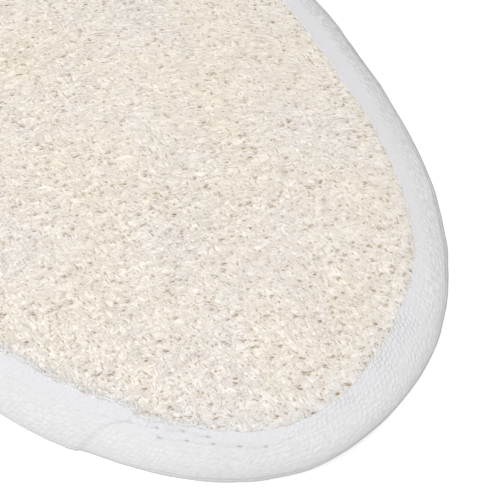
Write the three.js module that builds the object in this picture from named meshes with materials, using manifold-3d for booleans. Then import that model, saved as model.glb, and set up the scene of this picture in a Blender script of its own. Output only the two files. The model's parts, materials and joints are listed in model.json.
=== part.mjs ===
// Oval bath pad of natural loofah, in millimetres, +Z up, lying on its cloth back.
// A springy slab of loofah with a raised fibre net faces up. Terry cloth backs it, a cotton tape is folded
// round the edge of both and laps over its own start, and a two-thread seam runs right round the tape.
// The origin is under the middle of the pad, on the surface it lies on. The narrow end points along +X.
import * as THREE from "three";
import { mergeVertices } from "three/addons/utils/BufferGeometryUtils.js";
import Module from "manifold-3d";

// The oval seen from above
const padLength = 150;
const sideReach = 53.6; // half the width on the long axis' middle
const squareness = 2.35; // 2 is an ellipse, and more fills its corners
const eggTaper = 0.18; // how much narrower the +X end is

// Edge tape, folded to a U in section
const rimHeight = 5.9; // middle of the sewn edge above the table
const rimRadius = 3.2;
const tapeReach = 8; // from the rim in to the tape's edge
const tapeThickness = 0.9;
const topSlope = THREE.MathUtils.degToRad(22);
const bottomSlope = THREE.MathUtils.degToRad(12);

// Where the tape's end laps over its start
const lapAngle = THREE.MathUtils.degToRad(-42); // seen from the middle of the pad
const lapRise = 0.7;
const lapLength = 22; // from where the upper layer starts to rise to its end
const lapSlant = 7.5; // how far the end's inner corner runs ahead of its outer one
const lapRoot = 0.45; // how deep the upper layer is sunk into the lower one
const lapSpread = 0.15; // how far it shows past the lower one's inner edge

// Layers
const fitGap = 0.3;
const clothEdge = 3.6; // from the tape's edge in to where the cloth lies flat
const layerHeight = 4.9; // plane between cloth and loofah
const crownHeight = 15.4; // middle of the loofah's face
const shoulderHeight = 11; // loofah's face beside the tape
const crownPower = 2.6;

// The raised fibre net, several times coarser than the real one
const grainAngle = THREE.MathUtils.degToRad(49);
const meshLong = 9.4; // an opening's length along the grain
const meshWide = 4.9;
const fibreRise = 0.45; // crest of a fibre above the face
const pitDepth = [0.9, 1.7];
const pitInset = [0.4, 0.56]; // of the way from a crossing to an opening's middle
const jitter = 0.23; // of the opening's size
const netBottom = 7.2; // inside the slab, under the deepest pit
const slabTop = 8.2; // flat top of the slab under the net
const seed = 20;

// Seam
const seamInset = 2.5; // from the tape's inner edge
const stitchCount = 84;
const threadThickness = 0.7;
const stitchArch = 0.22; // how much a stitch stands above its ends

const steps = 96; // round the oval
const arcParts = 3; // half the facets of a rounded edge
const drumRadius = 90; // of the round blanks that are bent to the oval
const bendDepth = 12; // how far in from the rim a blank keeps its true widths

const wasm = await Module();
wasm.setup();

// The oval outline

const halfLength = padLength / 2;

function ovalPoint(angle) {
  const c = Math.cos(angle);
  const s = Math.sin(angle);
  const size = (Math.abs(c) ** squareness + Math.abs(s) ** squareness) ** (1 / squareness);
  const along = c / size;
  return new THREE.Vector3(halfLength * along, sideReach * (1 - eggTaper * along) * (s / size), 0);
}

const ovalPoints = Array.from({ length: 240 }, (_, i) => ovalPoint((i / 240) * 2 * Math.PI));
const rim = new THREE.CatmullRomCurve3(ovalPoints, true);
rim.arcLengthDivisions = 2400;
const rimLength = rim.getLength();

// A point a given depth inside the rim, at a share of the way round.
function insideRim(share, depth) {
  const t = ((share % 1) + 1) % 1;
  const tangent = rim.getTangentAt(t);
  return rim.getPointAt(t).add(new THREE.Vector3(-tangent.y, tangent.x, 0).multiplyScalar(depth));
}

// 0 at the middle of the pad and 1 at a given depth inside the rim.
function spread(x, y, depth) {
  const along = x / (halfLength - depth);
  const across = y / ((sideReach - depth) * (1 - eggTaper * along));
  return (Math.abs(along) ** squareness + Math.abs(across) ** squareness) ** (1 / squareness);
}

// Share of the way round at which the oval is seen at an angle from the middle.
function shareAtAngle(angle) {
  const direction = new THREE.Vector3(Math.cos(angle), Math.sin(angle), 0);
  const tries = 1200;
  const shares = Array.from({ length: tries }, (_, i) => i / tries);
  const off = (share) => rim.getPointAt(share).angleTo(direction);
  return shares.reduce((best, share) => (off(share) < off(best) ? share : best));
}

// Solids

function solidFrom(geometry) {
  const bare = new THREE.BufferGeometry();
  bare.setAttribute("position", geometry.getAttribute("position"));
  bare.setIndex(geometry.getIndex());
  const merged = mergeVertices(bare, 1e-4);
  return new wasm.Manifold(
    new wasm.Mesh({
      numProp: 3,
      vertProperties: new Float32Array(merged.attributes.position.array),
      triVerts: new Uint32Array(merged.index.array),
    }),
  );
}

function geometryFrom(solid) {
  const mesh = solid.getMesh();
  const points = [];
  for (let i = 0; i < mesh.numVert; i++) {
    points.push(new THREE.Vector3().fromArray(mesh.vertProperties, i * mesh.numProp));
  }
  return new THREE.BufferGeometry().setFromPoints(points).setIndex([...mesh.triVerts]);
}

// Turns a profile of [depth inside the rim, height] into a round blank and bends that to the oval.
// Points on the axis have a depth of drumRadius.
function bentLathe(profile, count = steps, liftAt = () => 0) {
  const blank = new THREE.LatheGeometry(
    profile.map(([depth, height]) => new THREE.Vector2(drumRadius - depth, height)),
    count,
  );
  const place = blank.getAttribute("position");
  for (let i = 0; i < place.count; i++) {
    const radius = Math.hypot(place.getX(i), place.getZ(i));
    const share = Math.atan2(place.getX(i), place.getZ(i)) / (2 * Math.PI);
    const depth = drumRadius - radius;
    const point = insideRim(share, Math.min(depth, bendDepth));
    if (depth > bendDepth) point.multiplyScalar(radius / (drumRadius - bendDepth));
    place.setXYZ(i, point.x, point.y, place.getY(i) + liftAt(share));
  }
  const column = 3 * profile.length;
  place.array.copyWithin(count * column, 0, column);
  return blank;
}

// The tape

// Outline of a U that follows the rim at a distance outside the tape's own surface: from its top inner end,
// round the rim, to its bottom inner end.
function edgeCurve(offset, reach, parts = arcParts) {
  const radius = rimRadius + offset;
  const curve = new THREE.Path();
  const runAt = (slope) => (reach - rimRadius + radius * Math.sin(slope)) * Math.tan(slope);
  curve.moveTo(reach, rimHeight + radius * Math.cos(topSlope) + runAt(topSlope));
  curve.lineTo(rimRadius - radius * Math.sin(topSlope), rimHeight + radius * Math.cos(topSlope));
  curve.absarc(rimRadius, rimHeight, radius, Math.PI / 2 + topSlope, (3 * Math.PI) / 2 - bottomSlope, false);
  curve.lineTo(reach, rimHeight - radius * Math.cos(bottomSlope) - runAt(bottomSlope));
  const points = curve.getPoints(parts);
  return points.filter((p, i) => i === 0 || p.distanceTo(points[i - 1]) > 0.01).map((p) => [p.x, p.y]);
}

// Closed U between two such outlines.
function uSection(outside, inside) {
  const inner = edgeCurve(inside, tapeReach, arcParts - 1).reverse();
  return [...outside, ...inner, outside[0]].reverse();
}

const lapShare = shareAtAngle(lapAngle);

// How far a share of the way round lies past the middle of the lap's end, as a part of the lap's length.
function pastLapEnd(share) {
  const ahead = ((((share - lapShare + 0.5) % 1) + 1) % 1) - 0.5;
  return (ahead * rimLength - lapSlant) / lapLength;
}

// How far the upper layer has risen at a share of the way round, from 0 to 1. It rises towards +X.
function lapLift(share) {
  const past = pastLapEnd(share);
  return past > 0.2 ? 0 : THREE.MathUtils.smoothstep(past, -1, -0.45);
}

// Everything behind the slanting end of the upper layer, as a block seen from above.
function behindLapEnd() {
  const along = rim.getTangentAt(lapShare);
  const inward = new THREE.Vector3(-along.y, along.x, 0);
  const start = insideRim(lapShare, 0);
  const corner = ([depth, ahead]) => {
    const point = start.clone().addScaledVector(inward, depth).addScaledVector(along, ahead);
    return new THREE.Vector2(point.x, point.y);
  };
  const slant = lapSlant / (tapeReach + 3);
  const back = 1.6 * lapLength;
  const plan = [
    [-5, -5 * slant],
    [tapeReach + 1, (tapeReach + 1) * slant],
    [tapeReach + 4, -back],
    [-8, -back],
  ];
  const shape = new THREE.Shape(plan.map(corner));
  return new THREE.ExtrudeGeometry(shape, { depth: 20, bevelEnabled: false }).translate(0, 0, -2);
}

// The upper layer alone, which starts inside the lower one and rises out of it.
function lapLayer() {
  const startDepth = 0.1;
  const layer = bentLathe(uSection(edgeCurve(-startDepth, tapeReach), -lapRoot));
  const top = bentLathe(uSection(edgeCurve(lapRise, tapeReach + lapSpread), -lapRoot));
  const place = layer.getAttribute("position");
  const risen = top.getAttribute("position");
  const pointsPerStep = place.count / (steps + 1);
  for (let i = 0; i < place.count; i++) {
    const low = new THREE.Vector3().fromBufferAttribute(place, i);
    const high = new THREE.Vector3().fromBufferAttribute(risen, i);
    low.lerp(high, lapLift(Math.floor(i / pointsPerStep) / steps));
    place.setXYZ(i, low.x, low.y, low.z);
  }
  return solidFrom(layer).intersect(solidFrom(behindLapEnd()));
}

function edgeTape() {
  const ring = bentLathe(uSection(edgeCurve(0, tapeReach), -tapeThickness));
  return geometryFrom(solidFrom(ring).add(lapLayer()));
}

// The layers

const innerEdge = rimRadius - tapeThickness - fitGap; // radius of the layers' edge inside the tape

// Depth at which the layers' round edge passes a height.
function edgeDepthAt(height) {
  return rimRadius - Math.sqrt(innerEdge ** 2 - (height - rimHeight) ** 2);
}

function terryBack() {
  const top = layerHeight - fitGap / 2;
  const under = edgeCurve(innerEdge - rimRadius, tapeReach).filter(([, height]) => height < top - 0.1);
  const lowest = under.at(-1)[1];
  return bentLathe([
    [drumRadius, 0],
    [tapeReach + clothEdge, 0],
    [tapeReach + 0.45 * clothEdge, 0.2 * lowest],
    ...under.reverse(),
    [edgeDepthAt(top), top],
    [drumRadius, top],
  ]);
}

// Height of the loofah's face, with the soft lumps that such a slab has.
function faceHeight(x, y) {
  const out = Math.min(spread(x, y, tapeReach), 1.1);
  const lumps = 0.3 * Math.sin(x / 9 + 1.3 * Math.sin(y / 14)) + 0.25 * Math.sin(y / 8 - x / 17);
  return shoulderHeight + (crownHeight - shoulderHeight) * (1 - out ** crownPower) + lumps;
}

function loofahCore() {
  const bottom = layerHeight + fitGap / 2;
  const over = edgeCurve(innerEdge - rimRadius, tapeReach + 0.5).filter(([, height]) => height > bottom + 0.1);
  return bentLathe([
    [drumRadius, bottom],
    [edgeDepthAt(bottom), bottom],
    ...over.reverse(),
    [bendDepth, slabTop],
    [drumRadius, slabTop],
  ]);
}

// A number from 0 to 1 that always comes out the same for a crossing or an opening of the net.
function draw(column, row, kind) {
  let h = (seed + column * 374761393 + row * 668265263 + kind * 2147483647) | 0;
  h = Math.imul(h ^ (h >>> 13), 1274126177);
  h = Math.imul(h ^ (h >>> 16), 2246822519);
  return ((h ^ (h >>> 15)) >>> 0) / 4294967296;
}

function between([low, high], share) {
  return low + (high - low) * share;
}

// Crossing of two fibres. Crossings lie where column plus row is even.
function crossing(column, row) {
  const g = (column / 2 + jitter * (2 * draw(column, row, 1) - 1)) * meshLong;
  const h = (row / 2 + jitter * (2 * draw(column, row, 2) - 1)) * meshWide;
  const x = g * Math.cos(grainAngle) - h * Math.sin(grainAngle);
  const y = g * Math.sin(grainAngle) + h * Math.cos(grainAngle);
  return new THREE.Vector3(x, y, faceHeight(x, y) + fibreRise * (0.4 + draw(column, row, 3)));
}

// The net as an open sheet: each opening is a four-sided pit between crests that it shares with its neighbours.
function netSheet() {
  const points = [];
  const faces = [];
  const known = new Map();
  const crossingIndex = (column, row) => {
    const name = column + "," + row;
    if (!known.has(name)) known.set(name, points.push(crossing(column, row)) - 1);
    return known.get(name);
  };
  const columns = Math.ceil((padLength * 1.1) / meshLong);
  const rows = Math.ceil((padLength * 1.1) / meshWide);
  for (let column = -columns; column <= columns; column++) {
    for (let row = -rows; row <= rows; row++) {
      if ((column + row) % 2 === 0) continue;
      const corners = [[-1, 0], [0, -1], [1, 0], [0, 1]].map(([a, b]) => crossing(column + a, row + b));
      const middle = corners.reduce((sum, p) => sum.add(p), new THREE.Vector3()).divideScalar(4);
      if (spread(middle.x, middle.y, tapeReach) > 1.16) continue;
      const ring = [[-1, 0], [0, -1], [1, 0], [0, 1]].map(([a, b]) => crossingIndex(column + a, row + b));
      const floor = faceHeight(middle.x, middle.y) - between(pitDepth, draw(column, row, 4));
      const inset = between(pitInset, draw(column, row, 5));
      const pit = corners.map((p) => points.push(p.clone().lerp(middle, inset).setZ(floor)) - 1);
      ring.forEach((corner, k) => {
        const next = (k + 1) % 4;
        faces.push(corner, ring[next], pit[next], corner, pit[next], pit[k]);
      });
      faces.push(pit[0], pit[1], pit[2], pit[0], pit[2], pit[3]);
    }
  }
  return { points, faces };
}

// Closes an open sheet with walls down to a flat bottom.
function closedDown({ points, faces }, bottom) {
  const below = points.map((p) => new THREE.Vector3(p.x, p.y, bottom));
  const all = [...faces];
  const edges = new Set();
  for (let i = 0; i < faces.length; i += 3) {
    const [a, b, c] = faces.slice(i, i + 3);
    all.push(c + points.length, b + points.length, a + points.length);
    [[a, b], [b, c], [c, a]].forEach(([from, to]) => edges.add(from + "," + to));
  }
  edges.forEach((name) => {
    const [from, to] = name.split(",").map(Number);
    if (edges.has(to + "," + from)) return;
    all.push(to, from, from + points.length, to, from + points.length, to + points.length);
  });
  return new THREE.BufferGeometry().setFromPoints([...points, ...below]).setIndex(all);
}

function loofahFace() {
  const plan = Array.from({ length: steps }, (_, i) => insideRim(i / steps, tapeReach + 0.4));
  const window = new THREE.Shape(plan.map((p) => new THREE.Vector2(p.x, p.y)));
  const column = new THREE.ExtrudeGeometry(window, { depth: crownHeight, bevelEnabled: false });
  column.translate(0, 0, netBottom - 1);
  const net = solidFrom(closedDown(netSheet(), netBottom)).intersect(solidFrom(column));
  return geometryFrom(solidFrom(loofahCore()).add(net));
}

// The seam

// One thread of the seam: it arches over each stitch and dips at the needle holes between them.
function seamThread(side) {
  const depth = tapeReach - seamInset;
  const offset = fitGap + threadThickness / 2;
  const surface = edgeCurve(offset, depth);
  const height = side > 0 ? surface[0][1] : surface.at(-1)[1];
  const half = threadThickness / 2;
  const section = [
    [depth - half, height],
    [depth, height + half],
    [depth + half, height],
    [depth, height - half],
  ];
  const count = 2 * stitchCount;
  const overLap = (share) => {
    const past = pastLapEnd(share);
    return THREE.MathUtils.smoothstep(past, -1, -0.55) * (1 - THREE.MathUtils.smoothstep(past, 0.12, 0.4));
  };
  const lift = (share) => {
    const atCrown = Math.round((share + 1) * count) % 2;
    return side * (atCrown * stitchArch + overLap(share) * 1.1 * lapRise);
  };
  return bentLathe([...section, section[0]], count, lift);
}

// Assembly

function piece(name, geometry, colour, roughness) {
  const closed = geometryFrom(solidFrom(geometry));
  const material = new THREE.MeshStandardMaterial({ color: colour, roughness, metalness: 0 });
  const mesh = new THREE.Mesh(closed, material);
  mesh.name = name;
  return mesh;
}

const pad = new THREE.Group();
pad.add(
  piece("loofah_face", loofahFace(), 0xe8dfcf, 0.85),
  piece("terry_back", terryBack(), 0xf0eee9, 0.95),
  piece("edge_tape", edgeTape(), 0xf1f1f2, 0.9),
  piece("seam_thread_front", seamThread(1), 0xf6f6f6, 0.7),
  piece("seam_thread_back", seamThread(-1), 0xf6f6f6, 0.7),
);

export default pad;
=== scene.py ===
import json
import math

import bmesh
import bpy
import numpy as np
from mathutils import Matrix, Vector

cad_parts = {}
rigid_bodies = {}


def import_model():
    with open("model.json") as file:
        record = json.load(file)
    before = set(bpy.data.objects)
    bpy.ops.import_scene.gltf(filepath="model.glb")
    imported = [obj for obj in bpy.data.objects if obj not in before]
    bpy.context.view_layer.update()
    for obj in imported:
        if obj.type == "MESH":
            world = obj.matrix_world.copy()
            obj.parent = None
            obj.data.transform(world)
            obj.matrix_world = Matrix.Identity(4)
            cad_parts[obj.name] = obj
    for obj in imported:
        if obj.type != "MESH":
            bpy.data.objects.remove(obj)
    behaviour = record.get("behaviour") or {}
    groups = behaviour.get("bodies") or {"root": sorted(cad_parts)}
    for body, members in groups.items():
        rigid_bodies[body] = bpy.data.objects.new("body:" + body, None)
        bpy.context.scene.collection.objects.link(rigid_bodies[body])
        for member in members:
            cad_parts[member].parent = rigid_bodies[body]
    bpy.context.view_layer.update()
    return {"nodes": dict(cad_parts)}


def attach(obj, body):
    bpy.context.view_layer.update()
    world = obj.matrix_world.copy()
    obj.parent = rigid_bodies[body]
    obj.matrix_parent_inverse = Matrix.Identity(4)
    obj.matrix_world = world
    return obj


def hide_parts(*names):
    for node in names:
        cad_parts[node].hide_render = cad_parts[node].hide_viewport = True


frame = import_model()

mm = 0.001

# The pad's outline and its sewn edge, in mm, as in the solid model
oval = {"halfLength": 75, "sideReach": 53.6, "squareness": 2.35, "eggTaper": 0.18, "points": 4801}
edge = {"height": 5.9, "radius": 3.2, "reach": 8, "topSlope": 22, "bottomSlope": 12}
face = {"shoulder": 11, "crown": 15.4, "power": 2.6, "grain": 49, "bottom": 5.05}


# Smooth random waves between -1 and 1, the same on every run
def softNoise(x, y, size, seed):
    cells = 64
    table = np.random.default_rng(seed).random((cells, cells)) * 2 - 1
    gridX, gridY = x / size + 31.7, y / size + 17.3
    cellX, cellY = np.floor(gridX).astype(int), np.floor(gridY).astype(int)
    partX, partY = gridX - cellX, gridY - cellY
    partX, partY = partX * partX * (3 - 2 * partX), partY * partY * (3 - 2 * partY)

    def at(stepX, stepY):
        return table[(cellX + stepX) % cells, (cellY + stepY) % cells]

    near = at(0, 0) * (1 - partX) + at(1, 0) * partX
    far = at(0, 1) * (1 - partX) + at(1, 1) * partX
    return near * (1 - partY) + far * partY


# The same waves along one line
def lineNoise(walk, size, seed):
    return softNoise(walk, walk * 0, size, seed)


def smoothStep(value, low, high):
    part = np.clip((value - low) / (high - low), 0, 1)
    return part * part * (3 - 2 * part)


# The oval, walked at an even pace from its narrow end
def walkOval():
    turns = np.linspace(0, 2 * math.pi, oval["points"])
    power = oval["squareness"]
    size = (np.abs(np.cos(turns)) ** power + np.abs(np.sin(turns)) ** power) ** (1 / power)
    along, across = np.cos(turns) / size, np.sin(turns) / size
    x = oval["halfLength"] * along
    y = oval["sideReach"] * (1 - oval["eggTaper"] * along) * across
    walked = np.concatenate([[0], np.cumsum(np.hypot(np.diff(x), np.diff(y)))])
    tangentX, tangentY = np.gradient(x, walked), np.gradient(y, walked)
    tangentX[0] = tangentX[-1] = 0
    tangentY[0] = tangentY[-1] = 1
    return walked, x, y, tangentX, tangentY


rimWalk, rimX, rimY, rimTangentX, rimTangentY = walkOval()
rimLength = rimWalk[-1]


# A point round the rim and the way in from it
def rimAt(walk):
    walk = walk % rimLength
    x, y = np.interp(walk, rimWalk, rimX), np.interp(walk, rimWalk, rimY)
    tangentX, tangentY = np.interp(walk, rimWalk, rimTangentX), np.interp(walk, rimWalk, rimTangentY)
    size = np.hypot(tangentX, tangentY)
    return x, y, -tangentY / size, tangentX / size


# How far points lie inside the rim, and where round it
def depthInside(x, y):
    steps = 840  # places round the rim that are tried
    walks = np.arange(steps) * rimLength / steps
    spotX, spotY, _, _ = rimAt(walks)
    depths, places = np.empty(len(x)), np.empty(len(x))
    block = 4000  # points looked up at a time
    for first in range(0, len(x), block):
        part = slice(first, first + block)
        away = (x[part, None] - spotX) ** 2 + (y[part, None] - spotY) ** 2
        nearest = away.argmin(axis=1)
        depths[part] = np.sqrt(away[np.arange(len(nearest)), nearest])
        places[part] = walks[nearest]
    outside = spread(x, y, 0) > 1
    return np.where(outside, -depths, depths), places


# 0 in the middle of the pad and 1 at a depth inside the rim
def spread(x, y, depth):
    along = x / (oval["halfLength"] - depth)
    across = y / ((oval["sideReach"] - depth) * (1 - oval["eggTaper"] * along))
    power = oval["squareness"]
    return (np.abs(along) ** power + np.abs(across) ** power) ** (1 / power)


def faceHeight(x, y):
    out = np.minimum(spread(x, y, edge["reach"]), 1.1)
    lumps = 0.3 * np.sin(x / 9 + 1.3 * np.sin(y / 14)) + 0.25 * np.sin(y / 8 - x / 17)
    return face["shoulder"] + (face["crown"] - face["shoulder"]) * (1 - out ** face["power"]) + lumps


# Tape: distances are counted from its inner edge on the loofah side, over the rim, to its inner edge below
topSlope, bottomSlope = math.radians(edge["topSlope"]), math.radians(edge["bottomSlope"])
topRun = (edge["reach"] - edge["radius"] + edge["radius"] * math.sin(topSlope)) / math.cos(topSlope)
rimRun = edge["radius"] * (math.pi - topSlope - bottomSlope)
bottomRun = (edge["reach"] - edge["radius"] + edge["radius"] * math.sin(bottomSlope)) / math.cos(bottomSlope)
tapeRun = topRun + rimRun + bottomRun
equator = topRun + edge["radius"] * (math.pi / 2 - topSlope)


# Depth and height on the tape's outside, and the direction that it faces
def sectionAt(run):
    radius = edge["radius"]
    turn = math.pi / 2 + topSlope + np.clip(run - topRun, 0, rimRun) / radius
    faceIn, faceUp = np.cos(turn), np.sin(turn)
    depth, height = radius + radius * faceIn, edge["height"] + radius * faceUp
    before, after = np.maximum(topRun - run, 0), np.maximum(run - topRun - rimRun, 0)
    depth = depth + before * math.cos(topSlope) + after * math.cos(bottomSlope)
    height = height + before * math.sin(topSlope) - after * math.sin(bottomSlope)
    return depth, height, faceIn, faceUp


def tapePoint(walk, run, rise):
    x, y, inX, inY = rimAt(walk)
    depth, height, faceIn, faceUp = sectionAt(run)
    depth = depth + rise * faceIn
    return x + depth * inX, y + depth * inY, height + rise * faceUp


tape = {
    "columns": 900,
    # Walk round the rim, and depth of the inner edge there
    "innerEdge": [
        (0, 6.95), (10, 8.1), (21, 8.2), (29, 7.1), (36, 6.4), (44, 6.35), (54, 6.85), (65, 7.3), (76, 8.2),
        (88, 8.3), (101, 7.9), (130, 7.5), (160, 7.9), (190, 7.4), (225, 7.8), (260, 7.5), (300, 7.9),
        (330, 7.6), (346, 7.9), (352, 8.3), (359, 7.75), (362, 8.1), (365, 7.6), (371, 8.2), (374.2, 7.7),
        (374.59, 7.5), (374.61, 7.2), (386, 7.2), (394, 6.8), (399, 6.35), (407, 6.4), (414, 6.65),
    ],
    # Distance from the inner edge, and where round the rim the lap ends there
    "lapEdge": [
        (0, 374.6), (0.9, 374.0), (2.2, 373.6), (3.2, 371.0), (4, 370.1), (4.9, 369.3), (6.8, 368.2),
        (9.5, 366.9), (14, 365.4), (21, 363),
    ],
    "lapRise": 0.3,
    "lapWall": 0.15,  # half the width of the step at the lap's end
    "lapStart": 30,  # from where the upper layer begins to rise to its end
    "lapPuff": 0.16,
    "lapLean": 34,  # how far away the mesh's columns still lean with the lap's end
    "foldRidge": 0.22,
    "foldWidth": 0.6,
    "creaseDepth": 0.12,
    # Walk round the rim, distance of the fold from the rim's outermost line, shares of its two lines; the
    # shares set both the pressed crease and its painted shade
    "foldLineAndShade": [
        (0, 1.3, 1, 0), (10, 0.95, 1, 0), (20, 0.6, 1, 0.2), (36, 0, 1, 0.9), (52, -0.4, 1, 0.8),
        (68, -0.68, 1, 0.2), (80, -0.8, 1, 0.9), (104, -0.98, 1, 1), (125, -0.8, 0.3, 0.4),
        (150, -0.6, 0.3, 0.2), (210, 0, 0.3, 0.2), (270, 0.7, 0.3, 0.1), (320, 1.2, 0.3, 0.1),
        (342, 1.4, 1, 0.1), (370, 1.57, 0.9, 0.3), (384, 1.64, 0.75, 0.9), (392, 1.67, 0.75, 0.9),
        (402, 1.6, 0.75, 0.8), (410, 1.5, 1, 0.3), (416, 1.39, 1, 0),
    ],
    # Walk round the rim, and how far the folded edge stands out of the even oval there
    "rimSwell": [
        (0, -0.04), (4, -0.2), (9, -0.38), (18, -0.42), (26, -0.25), (32, -0.05), (38, 0.16), (44, 0.2),
        (51, 0.35), (58, 0.2), (66, 0), (74, -0.15), (82, -0.28), (89, -0.22), (96, 0.1), (104, 0), (340, 0),
        (350, -0.1), (356, 0.14), (361, 0.2), (365, -0.02), (368, -0.38), (375, -0.3), (380, -0.16),
        (385, -0.05), (390, -0.03), (396, 0.18), (400, 0.12), (405, 0.28), (410, 0.14), (416, 0.02),
    ],
    "rimDrawnIn": 0.2,  # taken off the swell all round
    "thickness": 0.62,
    "edgeThickness": 0.3,
    "edgeReach": 2.5,  # how far in the tape grows from its edge's thickness to the full one
    "fray": 0.15,
}
seam = {
    "start": 379.9,
    "end": 808.5,
    "stitches": 89,
    "depths": [
        (379.9, 4.7), (386, 5.0), (393, 4.64), (398, 3.9), (402, 4.2), (406, 4.67), (420, 4.9), (440, 5.3),
        (455, 4.5), (480, 4.9), (520, 5.2), (600, 5.0), (700, 5.2), (760, 5.0), (784.8, 5.04), (789, 5.68),
        (793.6, 5.86), (799, 6.1), (803.8, 6.27), (808.5, 5.85),
    ],
    "threadRadius": 0.14,
    "hole": (0.42, 0.12),  # half length and half width
    "dent": 0.16,
    # Walk round the rim, and how plainly holes and dents show there
    "shown": [
        (0, 0.04), (110, 0.04), (135, 0.5), (325, 0.5), (345, 0.15), (366, 0.3), (380, 0.9), (399, 1),
        (404, 0.5), (411, 0.1),
    ],
}
innerWalk, innerDepth = np.array(tape["innerEdge"]).T
lapRun, lapWalk = np.array(tape["lapEdge"]).T
swellWalk, swellRise = np.array(tape["rimSwell"]).T
foldWalk, foldShift, foldFirst, foldSecond = np.array(tape["foldLineAndShade"]).T
seamShownWalk, seamShownShare = np.array(seam["shown"]).T
seamWalk, seamDepth = np.array(seam["depths"]).T
holeWalk = np.linspace(seam["start"], seam["end"], seam["stitches"] + 1)
holeDepth = np.interp(holeWalk, seamWalk, seamDepth)


# A value from a table that runs round the rim
def roundRim(walk, places, values):
    return np.interp(walk, places, values, period=rimLength)


def innerEdgeDepth(walk):
    return roundRim(walk, innerWalk, innerDepth)


def foldRun(walk):
    return equator + roundRim(walk, foldWalk, foldShift)


# How plainly the seam shows
def seamShown(walk):
    return roundRim(walk, seamShownWalk, seamShownShare)


def runOnTop(depth):
    return (edge["reach"] - depth) / math.cos(topSlope)


def runBelow(depth):
    return topRun + rimRun + (depth - edge["radius"] * (1 - math.sin(bottomSlope))) / math.cos(bottomSlope)


# The shortest way round from one place on the rim to another
def walkBetween(walk, other):
    return (walk - other + rimLength / 2) % rimLength - rimLength / 2


# How far the tape stands out of its plain section: waves, the lap, the seam's dents and the pressed crease
def tapeRelief(walk, run):
    x, y, inX, inY = rimAt(walk)
    flatX, flatY = x + (10 - run) * inX, y + (10 - run) * inY
    relief = 0.10 * softNoise(flatX, flatY, 7, 11) + 0.05 * softNoise(flatX, flatY, 2.6, 12)
    past = walkBetween(walk, np.interp(run, lapRun, lapWalk))
    lift = smoothStep(past, -tape["lapStart"], -0.4 * tape["lapStart"]) * (past < 0)
    atRim = smoothStep(run, 5.5, 8.5)
    relief = relief + tape["lapRise"] * lift * (0.35 + 0.65 * smoothStep(run, 0.8, 3.4) - 0.55 * atRim)
    relief = relief + tape["lapPuff"] * np.exp(-((past + 1.6) / 1.3) ** 2) * atRim * (past < 0)
    folded = smoothStep(run, 4.5, 8.5) * (1 - smoothStep(run, equator + 3, equator + 6))
    relief = relief + (roundRim(walk, swellWalk, swellRise) - tape["rimDrawnIn"]) * folded
    relief = relief + tape["foldRidge"] * np.exp(-((run - foldRun(walk)) / tape["foldWidth"]) ** 2)
    # The seam pulls the tape down, most at its holes, and the cloth swells on both sides
    holePlace = holeWalk % rimLength
    order = np.argsort(holePlace)
    for holeRun in (runOnTop(holeDepth), runBelow(holeDepth)):
        away = run - np.interp(walk % rimLength, holePlace[order], holeRun[order])
        dip = seam["dent"] * np.exp(-(away / 0.5) ** 2) - 0.05 * np.exp(-((np.abs(away) - 1.5) / 0.8) ** 2)
        relief = relief - seamShown(walk) * dip
    return relief - tape["creaseDepth"] * foldCreaseAndShade(walk, run)


# Pressed lines where the tape is folded over the rim: a soft one, and a sharp one that wavers. The mask sinks
# the crease into the tape and also darkens the tape's colour there as painted shade.
def foldCreaseAndShade(walk, run):
    away = run - foldRun(walk)
    soft = np.exp(-((away + 0.62) / 0.4) ** 2) * (0.8 + 0.4 * lineNoise(walk, 9, 14))
    sharp = np.exp(-((away + 1.95 + 0.15 * lineNoise(walk, 5, 15)) / 0.16) ** 2)
    return roundRim(walk, foldWalk, foldFirst) * soft + roundRim(walk, foldWalk, foldSecond) * sharp


# How close points on the tape are to a needle hole, from 0 to 1
def holeMask(walk, run):
    halfLength, halfWidth = seam["hole"]
    mask = np.zeros(len(walk))
    for holeRun in (runOnTop(holeDepth), runBelow(holeDepth)):
        for place, distance in zip(holeWalk, holeRun):
            near = np.abs(run - distance) < 1
            across = (run[near] - distance) / halfWidth
            along = walkBetween(walk[near], place) / halfLength
            mask[near] = np.maximum(mask[near], seamShown(place) * np.exp(-across * across - along * along))
    return mask


# Meshes

def addObject(name, data):
    added = bpy.data.objects.new(name, data)
    bpy.context.scene.collection.objects.link(added)
    return added


def finishPiece(mesh, name, nodes, material):
    mesh.shade_smooth()
    piece = addObject(name, mesh)
    mesh.materials.clear()
    mesh.materials.append(material)
    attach(piece, "root")
    if nodes:
        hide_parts(*nodes)
    print(f"{name}: {sum(len(p.vertices) - 2 for p in mesh.polygons)} triangles")
    return piece


def setPointValues(mesh, name, values):
    layer = mesh.attributes.new(name, "FLOAT", "POINT")
    layer.data.foreach_set("value", np.asarray(values, dtype=np.float32))


# One value for all the points of each fibre
def setFibreValues(mesh, name, values):
    setPointValues(mesh, name, np.repeat(values, len(mesh.vertices) // len(values)))


def setPlaces(mesh, x, y, z):
    mesh.vertices.foreach_set("co", (np.column_stack([x, y, z]) * mm).ravel())


def gridCoords(columns, rows):
    shape = bmesh.new()
    bmesh.ops.create_grid(shape, x_segments=columns, y_segments=rows, size=0.5)
    mesh = bpy.data.meshes.new("grid")
    shape.to_mesh(mesh)
    shape.free()
    spots = np.empty(len(mesh.vertices) * 3)
    mesh.vertices.foreach_get("co", spots)
    spots = spots.reshape(-1, 3)
    column = np.rint((spots[:, 0] + 0.5) * columns).astype(int)
    row = np.rint((spots[:, 1] + 0.5) * rows).astype(int)
    return mesh, column, row


def setUv(mesh, u, v):
    layer = mesh.uv_layers.new(name="clothPlan")
    corners = np.empty(len(mesh.loops), dtype=int)
    mesh.loops.foreach_get("vertex_index", corners)
    layer.data.foreach_set("uv", np.column_stack([u[corners], v[corners]]).astype(np.float32).ravel())


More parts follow.
